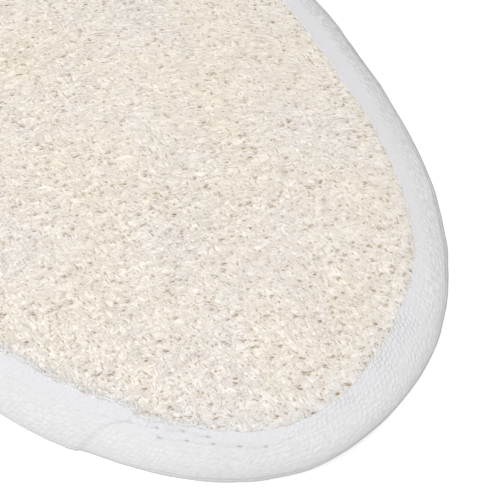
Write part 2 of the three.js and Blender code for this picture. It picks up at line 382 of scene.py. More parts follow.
def weldShut(mesh):
    shape = bmesh.new()
    shape.from_mesh(mesh)
    bmesh.ops.remove_doubles(shape, verts=shape.verts, dist=1e-7)
    bmesh.ops.recalc_face_normals(shape, faces=shape.faces)
    shape.to_mesh(mesh)
    shape.free()


# Materials

def newMaterial(name, roughness, specular):
    material = bpy.data.materials.new(name)
    material.use_nodes = True
    tree = material.node_tree
    shader = tree.nodes["Principled BSDF"]
    shader.inputs["Roughness"].default_value = roughness
    shader.inputs["Specular IOR Level"].default_value = specular
    return material, tree, shader


def addNode(tree, kind, settings=None, **inputs):
    node = tree.nodes.new(kind)
    for name, value in (settings or {}).items():
        setattr(node, name, value)
    for name, value in inputs.items():
        socket = node.inputs[int(name[1:])] if name[0] == "n" and name[1:].isdigit() else node.inputs[name]
        if isinstance(value, bpy.types.NodeSocket):
            tree.links.new(value, socket)
        else:
            socket.default_value = value
    return node


def calc(tree, operation, first, second=0.0, third=0.0):
    node = addNode(tree, "ShaderNodeMath", {"operation": operation}, n0=first, n1=second, n2=third)
    return node.outputs[0]


def ramp(tree, value, stops):
    node = addNode(tree, "ShaderNodeValToRGB", None, Fac=value)
    elements = node.color_ramp.elements
    while len(elements) < len(stops):
        elements.new(0.5)
    for element, (place, colour) in zip(elements, stops):
        element.position = place
        element.color = (*colour, 1)
    return node.outputs["Color"]


def mixColour(tree, share, first, second, blend="MIX"):
    node = addNode(tree, "ShaderNodeMix", {"data_type": "RGBA", "blend_type": blend})
    for socket, value in ((node.inputs[0], share), (node.inputs[6], first), (node.inputs[7], second)):
        if isinstance(value, bpy.types.NodeSocket):
            tree.links.new(value, socket)
        else:
            socket.default_value = value
    return node.outputs[2]


def objectPlace(tree):
    return addNode(tree, "ShaderNodeTexCoord").outputs["Object"]


# Places turned to the grain and stretched along it
def grainPlace(tree, stretch, turn=0.0):
    turned = addNode(tree, "ShaderNodeMapping", None, Vector=objectPlace(tree), Scale=(stretch, 1, 1),
                     Rotation=(0, 0, -math.radians(face["grain"]) - turn))
    return turned.outputs[0]


def pointValue(tree, name):
    return addNode(tree, "ShaderNodeAttribute", {"attribute_name": name}).outputs["Fac"]


# Noise, with a seed as its fourth dimension where one is given
def addNoise(tree, place, scale, detail, seed=None, **more):
    settings = None
    if seed is not None:
        settings = {"noise_dimensions": "4D"}
        more["W"] = seed
    node = addNode(tree, "ShaderNodeTexNoise", settings, Vector=place, Scale=scale, Detail=detail, **more)
    return node.outputs["Fac"]


def easedRange(tree, value, low, high, start=0.0, end=1.0):
    settings = {"interpolation_type": "SMOOTHSTEP"}
    node = addNode(tree, "ShaderNodeMapRange", settings, n0=value, n1=low, n2=high, n3=start, n4=end)
    return node.outputs[0]


def addBump(tree, shader, height, strength, distance):
    bump = addNode(tree, "ShaderNodeBump", None, Height=height, Strength=strength, Distance=distance)
    tree.links.new(bump.outputs[0], shader.inputs["Normal"])


plant = {
    "fibre": [
        (0.0, (0.82, 0.735, 0.62)),
        (0.25, (0.92, 0.86, 0.78)),
        (0.6, (0.955, 0.91, 0.85)),
        (1.0, (0.98, 0.955, 0.92)),
    ],
    "mat": [(0.0, (0.80, 0.72, 0.60)), (0.4, (0.905, 0.848, 0.772)), (1.0, (0.97, 0.93, 0.875))],
    "patches": [(0.36, (1, 0.985, 0.95)), (0.64, (0.985, 0.982, 0.998))],
    "lint": (0.87, 0.862, 0.865, 1),
    # Painted shade of the small gaps between fibres, in a warmer tan
    "shadedGap": (0.56, 0.44, 0.29, 1),
    # Tan to brown in the slits: partly the loofah's warmer colour inside, partly painted shade in the pits
    "slit": [(0.2, (0.74, 0.58, 0.37)), (0.65, (0.42, 0.30, 0.18))],
    "patchScale": 70.0,
    "strokeScale": 2900.0,
    "gapScale": 2500.0,
}


# Warm and cool patches, and the cotton haze beside the tape, over all the plant fibre
def patchAndHaze(tree, colour):
    patches = addNoise(tree, grainPlace(tree, 0.6), plant["patchScale"], 3)
    colour = mixColour(tree, 1.0, colour, ramp(tree, patches, plant["patches"]), "MULTIPLY")
    return mixColour(tree, pointValue(tree, "cottonHaze"), colour, plant["lint"])


def makeFibreMaterial():
    material, tree, shader = newMaterial("loofahFibre", 0.72, 0.28)
    colour = patchAndHaze(tree, ramp(tree, pointValue(tree, "fibreTone"), plant["fibre"]))
    tree.links.new(colour, shader.inputs["Base Color"])
    return material


# Short strokes of felted fibre, three layers deep, that run along the grain and across it
def makeMatMaterial():
    material, tree, shader = newMaterial("loofahMat", 0.85, 0.2)
    stroke = 0.0
    for turn, seed in ((0.1, 1.0), (0.6, 4.0), (-0.45, 7.0)):
        noise = addNoise(tree, grainPlace(tree, 0.28, turn), plant["strokeScale"], 0.0, seed, Distortion=0.6)
        away = calc(tree, "ABSOLUTE", calc(tree, "SUBTRACT", noise, 0.5))
        ridge = calc(tree, "SUBTRACT", 1.0, calc(tree, "MULTIPLY", away, 8.0))
        stroke = calc(tree, "MAXIMUM", stroke, ridge)
    colour = patchAndHaze(tree, ramp(tree, stroke, plant["mat"]))
    # Small dark dashes in the mat: painted shade of gaps between the fibres, in a warmer tan; the bump sinks
    # them too
    shadedGap = easedRange(tree, addNoise(tree, grainPlace(tree, 0.5), plant["gapScale"], 0.0), 0.66, 0.75)
    colour = mixColour(tree, calc(tree, "MULTIPLY", shadedGap, 0.8), colour, plant["shadedGap"])
    # Slits darken towards their middles: partly the loofah's warmer colour inside, partly painted shade in
    # the pits
    slit = pointValue(tree, "slitDepth")
    deep = calc(tree, "MULTIPLY", easedRange(tree, slit, 0.2, 0.52), 0.9)
    colour = mixColour(tree, deep, colour, ramp(tree, slit, plant["slit"]))
    tree.links.new(colour, shader.inputs["Base Color"])
    addBump(tree, shader, calc(tree, "SUBTRACT", stroke, shadedGap), 0.8, 0.00012)
    return material


twill = {
    "pitch": 0.85,
    # Walk round the rim, how plainly beads show on the inner and outer half, and how plainly ribs do
    "shown": [
        (0, 3.6, 1.7, 0.2), (14, 4.2, 1.8, 0.2), (26, 1.6, 0.8, 0.6), (40, 0.3, 0.3, 0.9),
        (60, 0.25, 0.25, 1), (76, 0.2, 0.2, 1.7), (104, 0.2, 0.2, 1.8), (130, 0.6, 0.6, 0.4),
        (320, 0.6, 0.6, 0.4), (350, 0.3, 0.75, 0.3), (367, 0.4, 0.8, 0.2), (370, 0.4, 1.1, 0),
        (380, 0.4, 0.8, 0.1), (390, 0.3, 0.35, 0.4), (402, 0.5, 0.45, 0.4), (410, 2.6, 1.2, 0.3),
    ],
    # The tape's white, painted darker in the weave's valleys and lighter on its knots, as painted shade and
    # light
    "valley": (0.632, 0.63, 0.638),
    "knot": (0.752, 0.75, 0.754),
    # A painted highlight, a little brighter and bluer, on the tape's inner half
    "innerHighlight": (1.006, 1.0, 1.014),
    # Painted shade in the small pleats of the tape
    "pleatShade": (0.46, 0.46, 0.47, 1),
    # Painted shade on the fold lines
    "foldLineAndShade": (0.2, 0.2, 0.21, 1),
    # Painted shade inside the needle holes
    "needleHoleShade": (0.22, 0.215, 0.21, 1),
}
weaveWalk, *weaveShares = np.array(twill["shown"]).T


# Faint diagonal rows of small knots, as twill shows them, and the yarn's fine fluff, with painted shade and
# light on the weave, painted shade on its fold lines, pleats and needle holes, and a painted highlight on its
# inner half
def makeTapeMaterial():
    material, tree, shader = newMaterial("cottonTwill", 0.65, 0.22)
    shader.inputs["Sheen Weight"].default_value = 0.25
    shader.inputs["Sheen Roughness"].default_value = 0.6
    place = objectPlace(tree)
    plan = addNode(tree, "ShaderNodeUVMap", {"uv_map": "clothPlan"}).outputs[0]
    parts = addNode(tree, "ShaderNodeSeparateXYZ", None, Vector=plan).outputs
    turns = rimLength / twill["pitch"]
    along, across = calc(tree, "MULTIPLY", parts[0], turns), calc(tree, "MULTIPLY", parts[1], turns)
    drift = calc(tree, "MULTIPLY", addNoise(tree, place, 160.0, 3), 2.2)
    rows = calc(tree, "ADD", calc(tree, "MULTIPLY_ADD", across, 0.55, along), drift)
    lanes = calc(tree, "SUBTRACT", across, drift)
    lattice = addNode(tree, "ShaderNodeCombineXYZ", None, n0=calc(tree, "MULTIPLY", rows, 0.8), n1=lanes)
    beads = addNode(tree, "ShaderNodeTexVoronoi", {"voronoi_dimensions": "2D"}, Vector=lattice.outputs[0],
                    Scale=1.0, Randomness=0.45)
    bead = easedRange(tree, beads.outputs["Distance"], 0.08, 0.6, 1.0, 0.0)
    patchy = addNoise(tree, place, 330.0, 2, 2.0)
    shown = addNode(tree, "ShaderNodeMapRange", None, n0=patchy, n1=0.36, n2=0.6, n3=0.25, n4=1.0).outputs[0]
    plain = calc(tree, "MULTIPLY", bead, shown)
    beadShare, ribShare = pointValue(tree, "beadShare"), pointValue(tree, "ribShare")
    # Ribs run nearly along the tape
    slant = calc(tree, "MULTIPLY_ADD", along, 0.3, across)
    ribPlace = addNode(tree, "ShaderNodeCombineXYZ", None, n0=calc(tree, "MULTIPLY", along, 0.22), n1=slant)
    ribs = addNode(tree, "ShaderNodeTexNoise", {"noise_dimensions": "2D"}, Vector=ribPlace.outputs[0],
                   Scale=3.0, Detail=2).outputs["Fac"]
    # Thin dark lines along the ribs: painted shade in small pleats of the cloth
    pleatShade = easedRange(tree, ribs, 0.3, 0.42, 1.0, 0.0)
    pleatShade = calc(tree, "MULTIPLY", pleatShade, calc(tree, "MULTIPLY", ribShare, 0.3))
    ribs = calc(tree, "MULTIPLY", calc(tree, "SUBTRACT", ribs, 0.5), calc(tree, "MULTIPLY", ribShare, 3.4))
    fluff = addNoise(tree, place, 2600.0, 4)

    def cloth(share):
        knots = calc(tree, "MULTIPLY", plain, share)
        return calc(tree, "MULTIPLY_ADD", fluff, 0.8, calc(tree, "MULTIPLY_ADD", knots, 0.6, ribs))

    # The colour runs from valley to knot: painted shade in the weave's hollows and painted light on its knots
    # and ribs
    shade = cloth(calc(tree, "MINIMUM", beadShare, 1.0))
    colour = ramp(tree, shade, [(0.15, twill["valley"]), (0.95, twill["knot"])])
    # Painted highlight: the tape's inner half is brightened and turned a little blue
    highlight = ramp(tree, easedRange(tree, across, 3.0, 6.5), [(0, twill["innerHighlight"]), (1, (1, 1, 1))])
    colour = mixColour(tree, 1.0, colour, highlight, "MULTIPLY")
    colour = mixColour(tree, pleatShade, colour, twill["pleatShade"])
    # Painted shade: the fold lines and the needle holes are darkened in the tape's colour
    for name, share in (("foldLineAndShade", 0.5), ("needleHoleShade", 0.75)):
        paintedShade = calc(tree, "MULTIPLY", pointValue(tree, name), share)
        colour = mixColour(tree, paintedShade, colour, twill[name])
    tree.links.new(colour, shader.inputs["Base Color"])
    addBump(tree, shader, cloth(beadShare), 0.55, 0.00018)
    return material


def makeTerryMaterial():
    material, tree, shader = newMaterial("terryCotton", 0.95, 0.1)
    shader.inputs["Sheen Weight"].default_value = 0.3
    place = objectPlace(tree)
    loops = addNode(tree, "ShaderNodeTexVoronoi", {"feature": "SMOOTH_F1"}, Vector=place, Scale=900.0)
    pile = calc(tree, "SUBTRACT", 1.0, loops.outputs["Distance"])
    height = calc(tree, "MULTIPLY_ADD", addNoise(tree, place, 4000.0, 3), 0.5, pile)
    # Painted shade: the pile is darker in the hollows between its loops and lighter on them
    colour = ramp(tree, height, [(0.5, (0.70, 0.68, 0.63)), (1.0, (0.86, 0.85, 0.82))])
    tree.links.new(colour, shader.inputs["Base Color"])
    addBump(tree, shader, height, 0.7, 0.0004)
    return material


def makeThreadMaterial(name, dark, light, twist):
    material, tree, shader = newMaterial(name, 0.7, 0.25)
    ply = addNoise(tree, objectPlace(tree), 5000.0, 2)
    tree.links.new(ramp(tree, ply, [(0.3, dark), (0.7, light)]), shader.inputs["Base Color"])
    if twist:
        addBump(tree, shader, ply, twist, 0.00005)
    return material


fibreMaterial, matMaterial, tapeMaterial = makeFibreMaterial(), makeMatMaterial(), makeTapeMaterial()
terryMaterial = makeTerryMaterial()
threadMaterial = makeThreadMaterial("seamThread", (0.66, 0.66, 0.67), (0.74, 0.74, 0.74), 0.3)
fluffMaterial = makeThreadMaterial("cottonFluff", (0.96, 0.96, 0.965), (0.99, 0.99, 0.995), 0.0)


# Tape

# Where the spacing of the mesh's rows changes. Rows before top shift with the inner edge, and rows between
# near and far with the fold.
rowStops = {
    "top": 4.8,
    "near": equator - 2.5,
    "far": equator + 1.0,
    "under": tapeRun - 5.2,
    "last": tapeRun - 1.4,
}


def tapeRows():
    top, near, far, under, last = rowStops.values()
    return np.concatenate([
        [0, 0.05, 0.16, 0.5, 0.85],
        np.linspace(1.2, top, 18)[:-1],
        np.linspace(top, near, 6)[:-1],
        np.linspace(near, far, 22)[:-1],
        np.linspace(far, under, 8)[:-1],
        np.linspace(under, last, 12)[:-1],
        np.linspace(last, tapeRun, 4),
    ])


def makeTape():
    top, near, far, under, _ = rowStops.values()
    outer, inner = tapeRows(), np.linspace(tapeRun, 0, 12)
    runs = np.concatenate([outer, inner, outer[:1]])
    # Each row's level: 0 on the tape's outside, -1 on its inside, and just under 0 at its rounded edges
    level = np.concatenate([np.zeros(len(outer)), np.full(len(inner), -1.0), [0.0]])
    level[[0, len(outer) - 1, -1]] = -0.12
    columns = tape["columns"]
    even = np.linspace(0, rimLength, columns + 1)
    lapAt = lapWalk[0]
    first = int(np.searchsorted(even, lapAt))
    even[first - 1], even[first] = lapAt - tape["lapWall"], lapAt + tape["lapWall"]
    mesh, column, row = gridCoords(columns, len(runs) - 1)
    lane, run, level = even[column], runs[row], level[row]
    outside = level > -1
    startRun = runOnTop(innerEdgeDepth(np.where(column == columns, 0, lane)))
    fray = tape["fray"] * lineNoise(lane, 0.9, 21) * (column % columns > 0)
    run = run + (startRun + fray) * np.clip(1 - run / top, 0, 1)
    onFold = np.clip((run - top) / (near - top), 0, 1) * np.clip((under - run) / (under - far), 0, 1)
    run = run + (foldRun(lane) - equator) * onFold * outside
    # Columns lean with the lap's slanting end, so that it falls between two of them
    fromLap = np.abs(walkBetween(lane, lapAt))
    window = np.cos(np.clip(fromLap / tape["lapLean"], 0, 1) * math.pi / 2) ** 2
    window = np.where(fromLap < 0.2, 1, window)
    walk = lane + window * (np.interp(run, lapRun, lapWalk) - lapAt)
    holes = holeMask(walk, run)
    full = smoothStep(np.minimum(run - startRun, tapeRun - run), 0, tape["edgeReach"])
    thickness = tape["edgeThickness"] + (tape["thickness"] - tape["edgeThickness"]) * full
    rise = np.where(outside, tapeRelief(walk, run) - 0.3 * holes + level * 0.8, -thickness)
    setPlaces(mesh, *tapePoint(walk, run, rise))
    setUv(mesh, walk / rimLength, run / rimLength)
    # The holes sink the tape a little, and their mask also darkens its colour as painted shade in the holes
    setPointValues(mesh, "needleHoleShade", holes * outside)
    # Painted shade along the fold lines, as a mask for the tape's colour
    setPointValues(mesh, "foldLineAndShade", foldCreaseAndShade(walk, run) * outside)
    innerBeads, outerBeads, ribs = (roundRim(walk, weaveWalk, share) for share in weaveShares)
    setPointValues(mesh, "beadShare", innerBeads + (outerBeads - innerBeads) * smoothStep(run, 3, 5.5))
    setPointValues(mesh, "ribShare", ribs * smoothStep(run, 2.5, 6))
    weldShut(mesh)
    return finishPiece(mesh, "edgeTapeTwill", ["edge_tape"], tapeMaterial)


edgeTapePiece = makeTape()


# Stitches: each thread dives into one hole and comes out of the next

def curvesToMesh(name, lines, radius, sides, thickness=None):
    curve = bpy.data.curves.new(name, "CURVE")
    curve.dimensions = "3D"
    profile = None
    if sides == 3:
        outline = bpy.data.curves.new(name + "Outline", "CURVE")
        outline.dimensions = "2D"
        ring = outline.splines.new("POLY")
        ring.points.add(2)
        for index in range(3):
            turn = index * 2 * math.pi / 3
            ring.points[index].co = (radius * mm * math.cos(turn), radius * mm * math.sin(turn), 0, 1)
        ring.use_cyclic_u = True
        profile = addObject(name + "Outline", outline)
        curve.bevel_mode = "OBJECT"
        curve.bevel_object = profile
    else:
        curve.bevel_depth = radius * mm
        curve.bevel_resolution = 1
    curve.use_fill_caps = True
    count, length = lines.shape[:2]
    flat = np.ones((count, length, 4), dtype=np.float32)
    flat[:, :, :3] = lines * mm
    if thickness is None:
        thickness = np.ones((count, length))
    for index in range(count):
        spline = curve.splines.new("POLY")
        spline.points.add(length - 1)
        spline.points.foreach_set("co", flat[index].ravel())
        spline.points.foreach_set("radius", thickness[index].astype(np.float32))
    holder = addObject(name, curve)
    bpy.context.view_layer.update()
    drawn = bpy.context.evaluated_depsgraph_get()
    mesh = bpy.data.meshes.new_from_object(holder.evaluated_get(drawn), depsgraph=drawn)
    bpy.data.objects.remove(holder)
    if profile:
        bpy.data.objects.remove(profile)
    return mesh


def makeStitches(name, node, toRun):
    rise = np.array([-0.42, -0.12, 0.02, 0.05, 0.06, 0.05, 0.02, -0.12, -0.42])
    parts = np.linspace(0.03, 0.97, len(rise))
    walk = holeWalk[:-1, None] + np.diff(holeWalk)[:, None] * parts
    run = toRun(np.interp(walk, holeWalk, holeDepth))
    flat = tapeRelief(walk.ravel(), run.ravel()).reshape(walk.shape)
    sunk = seam["dent"] * (1 - seamShown(walk))
    lines = np.stack(tapePoint(walk, run, flat + rise - sunk), axis=2)
    mesh = curvesToMesh(name, lines, seam["threadRadius"], 8)
    finishPiece(mesh, name, [node], threadMaterial)


makeStitches("seamStitchesFront", "seam_thread_front", runOnTop)
makeStitches("seamStitchesBack", "seam_thread_back", runBelow)


# Loofah: a felted mat with many short fibres pressed into it, parted by small slits

fibres = {
    "pieces": 4,
    "perPiece": 6500,
    "points": 4,
    "taper": np.array([0.45, 1, 1, 0.45]),
    "length": (1.3, 2.8),
    "radius": 0.058,
    "layers": (-0.10, 0.10),
    "arch": (0.05, 0.18),
    "hairs": 260,
    "hazeReach": 3.2,
    # Walk round the rim, and how thick the cotton haze is there
    "haze": [
        (0, 0.6), (20, 0.5), (40, 0.3), (100, 0.25), (130, 0.2), (320, 0.3), (345, 0.6), (375, 0.6),
        (398, 0.8), (412, 0.75),
    ],
}
slits = {
    "count": 4300,
    "lidded": 0.8,  # the least size that gets lids
    "halfLength": 0.5,
    "halfWidth": 0.21,
    "size": (0.4, 1.3),
    "cellLong": 0.68,  # the mat's cells, along and across the grain
    "cellWide": 0.42,
    "depth": 0.5,
    "mapStep": 0.1,
    "mapSize": (1560, 1200),
    "mapReach": 9,  # steps of the map that the largest slit takes up on each side
}
hazeWalk, hazeShare = np.array(fibres["haze"]).T
random = np.random.default_rng(7)
grain = math.radians(face["grain"])
grainCos, grainSin = math.cos(grain), math.sin(grain)
field = {"halfLength": 72, "halfWidth": 55}


# Evenly strewn spots over the pad's box
def strew(count, shift):
    index = np.arange(count) + shift
    x = (0.7548776662 * index) % 1
    y = (0.5698402910 * index) % 1
    return (2 * x - 1) * field["halfLength"], (2 * y - 1) * field["halfWidth"]


def jitter(x, y, size):
    return x + random.normal(0, size, len(x)), y + random.normal(0, size, len(y))


# Along and across the grain, and back
def toGrain(x, y):
    return x * grainCos + y * grainSin, y * grainCos - x * grainSin


def fromGrain(along, across):
    return along * grainCos - across * grainSin, along * grainSin + across * grainCos


# Lines round their middle points, each turned to its own angle
def turnLines(x, y, angle, along, across):
    cos, sin = np.cos(angle)[:, None], np.sin(angle)[:, None]
    return x[:, None] + along * cos - across * sin, y[:, None] + along * sin + across * cos


# A pale haze of cotton lint lies over the loofah beside the tape
def hazeAt(x, y):
    depth, walk = depthInside(x, y)
    away = np.maximum(depth - innerEdgeDepth(walk), 0)
    return roundRim(walk, hazeWalk, hazeShare) * np.exp(-(away / fibres["hazeReach"]) ** 2)


# Where larger slits part the fibres most, and where the fibres are painted darker as shade: towards the pad's
# left long side
def openness(x, y):
    return smoothStep(0.9 * y + 0.3 * x, 14, 42)


# Each slit lies on a corner of the mat's cells
def makeSlits():
    x, y = jitter(*strew(slits["count"], 0.5), 1.4)
    along, across = toGrain(x, y)
    along = np.rint(along / slits["cellLong"]) * slits["cellLong"]
    across = np.rint(across / slits["cellWide"]) * slits["cellWide"]
    x, y = fromGrain(along, across)
    least, most = slits["size"]
    size = least + (most - least) * random.random(len(x)) ** (2.4 - openness(x, y))
    return x, y, along, across, size


slitX, slitY, slitAlong, slitAcross, slitSize = makeSlits()


# A map of the slits, to look up which fibres would cross one
def mapSlits():
    step, reach = slits["mapStep"], slits["mapReach"]
    wide, high = slits["mapSize"]
    found = np.zeros((high, wide), dtype=bool)
    near = np.arange(-reach, reach + 1) * step
    along, across = toGrain(*np.meshgrid(near, near))
    for x, y, size in zip(slitX, slitY, slitSize):
        inside = (along / (slits["halfLength"] * size)) ** 2 + (across / (slits["halfWidth"] * size)) ** 2 < 1
        column, row = int(round(x / step)) + wide // 2, int(round(y / step)) + high // 2
        if reach <= column < wide - reach - 1 and reach <= row < high - reach - 1:
            found[row - reach:row + reach + 1, column - reach:column + reach + 1] |= inside
    return found


slitMap = mapSlits()


def onSlit(x, y):
    high, wide = slitMap.shape
    column = np.clip(np.rint(x / slits["mapStep"]).astype(int) + wide // 2, 0, wide - 1)
    row = np.clip(np.rint(y / slits["mapStep"]).astype(int) + high // 2, 0, high - 1)
    return slitMap[row, column]


def flowAngle(x, y):
    return grain + 0.40 * softNoise(x, y, 24, 31) + 0.34 * softNoise(x, y, 8, 32)


# Where the fibres lie every way: beside the near side's tape
def looseness(x, y):
    nearTape = 1 - smoothStep(-spread(x, y, edge["reach"]), -0.95, -0.6)
    side = smoothStep(0.7 * x - 0.6 * y, 5, 45) * nearTape
    return np.clip(0.16 + 0.7 * side + 0.3 * softNoise(x, y, 16, 33), 0.05, 1)


tuck = {"below": 0.6, "fade": 1.1}  # mm under the tape's outside, and mm inward in which the levelling fades


# Keeps what lies near the edge under the tape, and level with the tape beside it
def tuckUnder(x, y, z, level, clearance, dip):
    depth, walk = depthInside(x, y)
    inner = innerEdgeDepth(walk)
    _, tapeTop, _, _ = sectionAt(runOnTop(np.minimum(depth, edge["reach"] + 3)))
    limit = tapeTop - tuck["below"] - clearance
    beside = np.exp(-(np.maximum(depth - inner, 0) / tuck["fade"]) ** 2)
    z = z + (tapeTop + level - faceHeight(x, y)) * beside
    share = 1 - smoothStep(depth, inner - dip[0], inner - dip[1])
    return np.where(z > limit, z + (limit - z) * share, z), depth


# Short fibres round their middle points, bent and waved, with both ends sunk
def fibreLines(x, y, angle, size, bend, sway, wave, layer, arch, points):
    parts = np.linspace(-0.5, 0.5, points)
    along = size[:, None] * parts
    phase = random.uniform(0, 2 * math.pi, len(x))[:, None]
    across = bend[:, None] * along ** 2 + sway[:, None] * np.sin(2 * math.pi * along / wave[:, None] + phase)
    rise = layer[:, None] + arch[:, None] * (0.6 - 2.4 * (2 * parts) ** 2)
    return *turnLines(x, y, angle, along, across), rise


def laidFibres(lineX, lineY, rise):
    flatX, flatY = lineX.ravel(), lineY.ravel()
    flatZ = faceHeight(flatX, flatY) + 0.05 * softNoise(flatX, flatY, 3.2, 41) + rise.ravel()
    flatZ, _ = tuckUnder(flatX, flatY, flatZ, 0.02, 0.05, (0.38, 0.04))
    return np.stack([flatX, flatY, flatZ], axis=1).reshape(*lineX.shape, 3)


# Which lines cross a slit, looked up at 13 places along each
def crossesSlit(lineX, lineY):
    last = fibres["points"] - 1
    crosses = np.zeros(len(lineX), dtype=bool)
    for place in np.linspace(0, last, 13):
        first = min(int(place), last - 1)
        part = place - first
        spotX = lineX[:, first] * (1 - part) + lineX[:, first + 1] * part
        spotY = lineY[:, first] * (1 - part) + lineY[:, first + 1] * part
        crosses |= onSlit(spotX, spotY)
    return crosses


def makeFibres(number):
    wanted = fibres["perPiece"]
    x, y = strew(wanted * 2, number * 7919 + 13)
    keep = spread(x, y, edge["reach"] - 1.5) < 1
    x, y = jitter(x[keep], y[keep], 0.5)
    count = len(x)
    loose = looseness(x, y)
    angle = flowAngle(x, y) + random.normal(0, 1, count) * (0.28 + 0.55 * loose)
    size = random.uniform(*fibres["length"], count) * (1 - 0.2 * loose)
    bend = random.normal(0, 0.11 + 0.12 * loose, count)
    sway = random.uniform(0.03, 0.16, count)
    wave = random.uniform(1.8, 3.6, count)
    layer = random.uniform(*fibres["layers"], count)
    arch = random.uniform(*fibres["arch"], count)
    lineX, lineY, rise = fibreLines(x, y, angle, size, bend, sway, wave, layer, arch, fibres["points"])
    kept = np.nonzero(~crossesSlit(lineX, lineY))[0][:wanted]
    lines = laidFibres(lineX[kept], lineY[kept], rise[kept])
    thickness = fibres["taper"] * random.uniform(0.75, 1.2, len(kept))[:, None]
    name = f"loofahFibres{number + 1}"
    mesh = curvesToMesh(name, lines, fibres["radius"], 3, thickness)
    lowest, highest = fibres["layers"]
    top = (layer[kept] - lowest) / (highest - lowest)
    gaping = openness(x[kept], y[kept])
    # Painted shade: fibres lower in the layers and fibres where the pad gapes are darker, higher ones
    # lighter; the random part is the fibres' own tone
    tone = 0.42 + 0.5 * top ** 2 - 0.14 * gaping + random.normal(0, 1, len(kept)) * (0.14 + 0.12 * gaping)
    setFibreValues(mesh, "fibreTone", np.clip(tone, 0, 1))
    setFibreValues(mesh, "cottonHaze", hazeAt(x[kept], y[kept]))
    finishPiece(mesh, name, [], fibreMaterial)


# Two fibres bow round each slit, like lids
def makeLids():
    shown = (spread(slitX, slitY, edge["reach"] - 0.5) < 1) & (slitSize > slits["lidded"])
    sides = np.repeat([-1.0, 1.0], shown.sum())
    x, y, size = (np.tile(values[shown], 2) for values in (slitX, slitY, slitSize))
    angle = grain + random.normal(0, 0.16, len(x))
    parts = np.linspace(-1, 1, fibres["points"])
    along = parts * (slits["halfLength"] * size * random.uniform(1.7, 2.6, len(x)))[:, None]
    bow = (slits["halfWidth"] * size + 0.10)[:, None] * (1.15 - 1.5 * np.abs(parts) ** 1.5)
    lineX, lineY = turnLines(x, y, angle, along, sides[:, None] * bow)
    rise = 0.10 + 0.06 * (0.4 - parts ** 2) + np.zeros((len(x), 1))
    thickness = fibres["taper"] * random.uniform(0.75, 1.1, len(x))[:, None]
    mesh = curvesToMesh("loofahLids", laidFibres(lineX, lineY, rise), fibres["radius"], 3, thickness)
    setFibreValues(mesh, "fibreTone", np.clip(random.normal(0.66, 0.16, len(x)), 0, 1))
    setFibreValues(mesh, "cottonHaze", hazeAt(x, y))
    finishPiece(mesh, "loofahLids", [], fibreMaterial)


# A few long pale hairs lie over all
def makeHairs():
    x, y = jitter(*strew(fibres["hairs"], 977), 2)
    keep = spread(x, y, edge["reach"] + 2) < 1
    x, y = x[keep], y[keep]
    count = len(x)
    taper = np.array([0.4, 0.8, 1, 1, 1, 1, 0.8, 0.4])
    angle = grain + random.normal(0, 0.8, count)
    size = random.uniform(4.5, 9, count)
    bend = random.normal(0, 0.035, count)
    sway = random.uniform(0.05, 0.3, count)
    wave = random.uniform(5, 9, count)
    layer, arch = np.full(count, 0.17), np.full(count, 0.1)
    lines = laidFibres(*fibreLines(x, y, angle, size, bend, sway, wave, layer, arch, len(taper)))
    thickness = taper * random.uniform(0.5, 0.8, count)[:, None]
    mesh = curvesToMesh("loofahHairs", lines, fibres["radius"], 3, thickness)
    setPointValues(mesh, "fibreTone", np.full(len(mesh.vertices), 0.95))
    finishPiece(mesh, "loofahHairs", [], fibreMaterial)


slabInset = 3.6  # how far inside the rim both slabs end, hidden in the tape


# Trims a sheet to the pad's outline and closes it down or up to a flat side at a height
def closeSlab(mesh, depth, height):
    shape = bmesh.new()
    shape.from_mesh(mesh)
    shape.verts.ensure_lookup_table()
    outside = [shape.verts[index] for index in np.nonzero(depth < slabInset)[0]]
    bmesh.ops.delete(shape, geom=outside, context="VERTS")
    loose = [vert for vert in shape.verts if not vert.link_faces]
    bmesh.ops.delete(shape, geom=loose, context="VERTS")
    border = [line for line in shape.edges if line.is_boundary]
    walls = bmesh.ops.extrude_edge_only(shape, edges=border)["geom"]
    for vert in (item for item in walls if isinstance(item, bmesh.types.BMVert)):
        vert.co.z = height * mm
    border = [line for line in shape.edges if line.is_boundary]
    bmesh.ops.holes_fill(shape, edges=border, sides=0)
    bmesh.ops.recalc_face_normals(shape, faces=shape.faces)
    shape.to_mesh(mesh)
    shape.free()


mat = {"halfColumns": 118, "halfRows": 190, "below": 0.17, "ridges": 0.03}  # below the fibres' middle level


def makeMat():
    halfColumns, halfRows = mat["halfColumns"], mat["halfRows"]
    columns, rows = halfColumns * 2, halfRows * 2
    mesh, column, row = gridCoords(columns, rows)
    along, across = (column - halfColumns) * slits["cellLong"], (row - halfRows) * slits["cellWide"]
    x, y = fromGrain(along, across)
    pits = np.zeros((columns + 1, rows + 1))
    slitColumn = np.rint(slitAlong / slits["cellLong"]).astype(int) + halfColumns
    slitRow = np.rint(slitAcross / slits["cellWide"]).astype(int) + halfRows
    inGrid = (slitColumn >= 0) & (slitColumn <= columns) & (slitRow >= 0) & (slitRow <= rows)
    pits[slitColumn[inGrid], slitRow[inGrid]] = slitSize[inGrid] / slits["size"][1]
    pit = pits[column, row]
    ridges = softNoise(along, across * 2.4, 1.6, 51)
    z = faceHeight(x, y) - mat["below"] + mat["ridges"] * ridges - slits["depth"] * pit
    z, depth = tuckUnder(x, y, z, -0.1, 0.3, (1.2, 0.6))
    setPlaces(mesh, x, y, z)
    setPointValues(mesh, "slitDepth", pit)
    setPointValues(mesh, "cottonHaze", hazeAt(x, y))
    closeSlab(mesh, depth, face["bottom"])
    return finishPiece(mesh, "loofahMat", ["loofah_face"], matMaterial)


matPiece = makeMat()
for number in range(fibres["pieces"]):
    makeFibres(number)
makeLids()
makeHairs()


